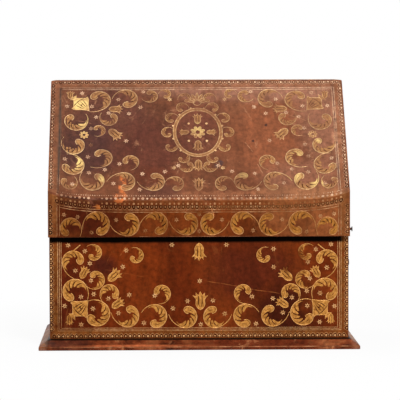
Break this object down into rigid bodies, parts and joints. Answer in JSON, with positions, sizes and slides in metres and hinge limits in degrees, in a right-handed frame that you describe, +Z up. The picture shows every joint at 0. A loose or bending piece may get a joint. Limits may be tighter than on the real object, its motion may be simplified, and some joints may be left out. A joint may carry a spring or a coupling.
{
  "type": "stationery box",
  "caption": "Slope-lid stationery box covered in gilt-tooled leather, on a bevelled plinth, with stepped dividers and one rear-hinged lid whose lip drops over the front.",
  "frame": {"origin": "middle of the underside of the plinth", "axes": "+Z up, -Y towards the front of the box with the lip, +X to the right seen from the front, along the long side"},
  "size_m": [0.353, 0.2218, 0.295],
  "materials": {
    "leather": "satin",
    "carcase_wood": "matte",
    "divider_wood": "satin",
    "lining_paper": "matte",
    "iron": "satin"
  },
  "bodies": {
    "case": {"bottom_board": "carcase_wood", "front_board": "carcase_wood", "back_board": "carcase_wood", "left_side_board": "carcase_wood", "right_side_board": "carcase_wood", "plinth_front": "carcase_wood", "plinth_back": "carcase_wood", "plinth_left": "carcase_wood", "plinth_right": "carcase_wood", "plinth_leather": "leather", "front_leather": "leather", "back_leather": "leather", "left_side_leather": "leather", "right_side_leather": "leather", "floor_lining": "lining_paper", "front_lining": "lining_paper", "back_lining": "lining_paper", "left_lining": "lining_paper", "right_lining": "lining_paper", "divider_front": "divider_wood", "divider_middle": "divider_wood", "divider_rear": "divider_wood", "cross_divider_left": "divider_wood", "cross_divider_right": "divider_wood", "hinge_left_case_leaf": "iron", "hinge_right_case_leaf": "iron", "hinge_left_pin": "iron", "hinge_right_pin": "iron", "case_hinge_screws": "iron", "hook_washer": "iron", "hook_rivet": "iron"},
    "lid": {"lid_top_board": "carcase_wood", "lid_slope_board": "carcase_wood", "lid_lip_board": "carcase_wood", "lid_leather": "leather", "lid_lining": "lining_paper", "hinge_left_lid_leaf": "iron", "hinge_right_lid_leaf": "iron", "lid_hinge_screws": "iron", "catch_stud": "iron"},
    "hook": {"side_hook": "iron"}
  },
  "joints": [
    {"name": "lid_hinge", "type": "hinge", "parent": "case", "child": "lid", "pos_m": [0, 0.102, 0.28525], "axis": [-1, 0, 0], "range_deg": [0, 105]},
    {"name": "hook_pivot", "type": "hinge", "parent": "case", "child": "hook", "pos_m": [0.1666, -0.06, 0.092], "axis": [-1, 0, 0], "range_deg": [0, 133.5]}
  ]
}
